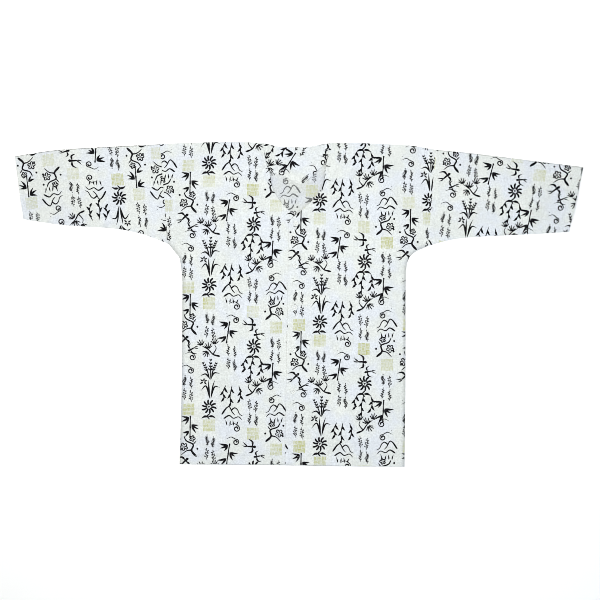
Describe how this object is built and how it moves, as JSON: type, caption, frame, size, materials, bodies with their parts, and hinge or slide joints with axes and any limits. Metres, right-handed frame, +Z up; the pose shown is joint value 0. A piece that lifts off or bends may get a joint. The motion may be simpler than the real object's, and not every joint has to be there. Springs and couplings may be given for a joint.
{
  "type": "festival shirt",
  "caption": "Loose cotton festival shirt with a V neck, a buttoned front and three-quarter sleeves, laid flat and buttoned.",
  "frame": {"origin": "under the middle of the shirt's bounding box, on the surface that it lies on", "axes": "+X to the wearer's left along the sleeves, +Y from the hem to the neck, +Z up from the surface"},
  "size_m": [1.2206, 0.6974, 0.0072],
  "materials": {
    "printed_cotton": "thin plain-weave cotton, cool white, printed with ink-black, grey and pale gold motifs, matt",
    "button": "moulded resin, white, slightly pearly, four holes"
  },
  "bodies": {
    "root": {"back": "printed_cotton", "back_neck_facing": "printed_cotton", "front_right": "printed_cotton", "front_left": "printed_cotton", "sleeve_right": "printed_cotton", "sleeve_left": "printed_cotton", "button_1": "button", "button_2": "button", "button_3": "button", "button_4": "button", "button_5": "button"}
  },
  "joints": []
}
